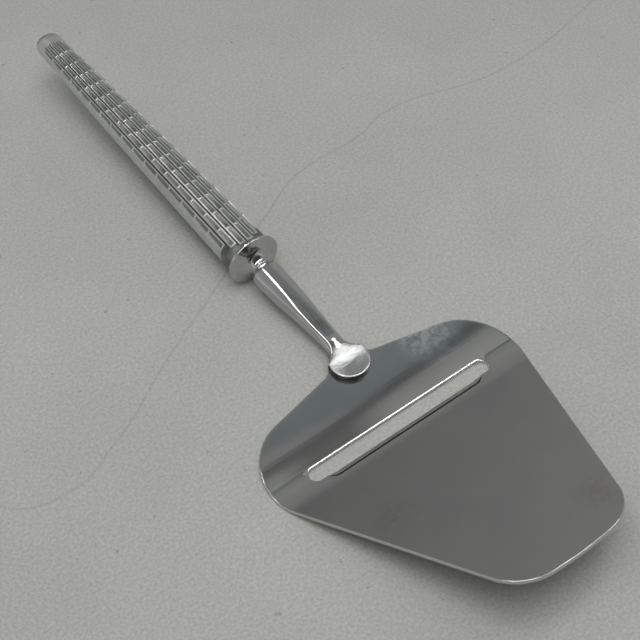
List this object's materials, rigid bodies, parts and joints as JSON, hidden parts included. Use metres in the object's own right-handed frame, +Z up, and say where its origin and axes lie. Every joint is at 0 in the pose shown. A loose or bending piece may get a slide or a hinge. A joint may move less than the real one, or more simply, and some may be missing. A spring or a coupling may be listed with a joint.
{
  "type": "cheese slicer",
  "caption": "Hand-held cheese slicer: a folded steel blade with a slicing slot and pressed lip, a turned shank and a hollow, patterned silver handle.",
  "frame": {"origin": "centre of the footprint, on the surface that the slicer rests on", "axes": "+Z up, +Y along the slicer from the blade's tip to the butt of the handle, +X across it; the slicer is mirror-symmetric about X = 0, and it lies as in use on a table, on the fold of the blade and the low edge of the flange"},
  "size_m": [0.0744, 0.229, 0.0186],
  "materials": {
    "blade_steel": "polished sheet with fine wear",
    "polished_steel": "mirror polish",
    "silver_plate": "satin silver plate, darker in the recesses",
    "filling": "matt cast resin"
  },
  "bodies": {
    "root": {"blade": "blade_steel", "shank": "polished_steel", "handle_front_shell": "silver_plate", "handle_back_shell": "silver_plate", "handle_filling": "filling"}
  },
  "joints": []
}
